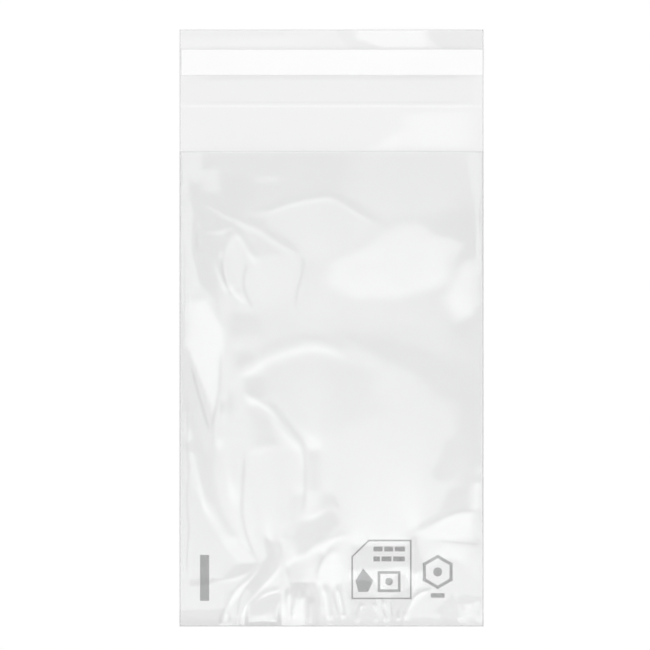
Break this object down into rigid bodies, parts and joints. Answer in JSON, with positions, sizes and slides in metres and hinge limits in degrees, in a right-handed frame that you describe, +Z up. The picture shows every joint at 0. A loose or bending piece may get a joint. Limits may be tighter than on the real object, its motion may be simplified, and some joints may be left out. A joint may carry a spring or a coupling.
{
  "type": "self-seal plastic bag",
  "caption": "Flat clear film bag with an open mouth, a closing flap with an adhesive band under a white release strip, and soft folds in its upper wall.",
  "frame": {"origin": "centre of the bag's footprint, on the surface that it lies on", "axes": "+Z up out of the surface, +Y along the bag from its foot to the free edge of the flap, +X to the right seen from above"},
  "size_m": [0.15, 0.2945, 0.0111],
  "materials": {
    "clear_film": "clear gloss film",
    "clear_adhesive": "clear tacky band",
    "white_release_film": "white satin film"
  },
  "bodies": {
    "root": {"bag_film": "clear_film", "adhesive_strip": "clear_adhesive", "release_strip": "white_release_film"}
  },
  "joints": []
}
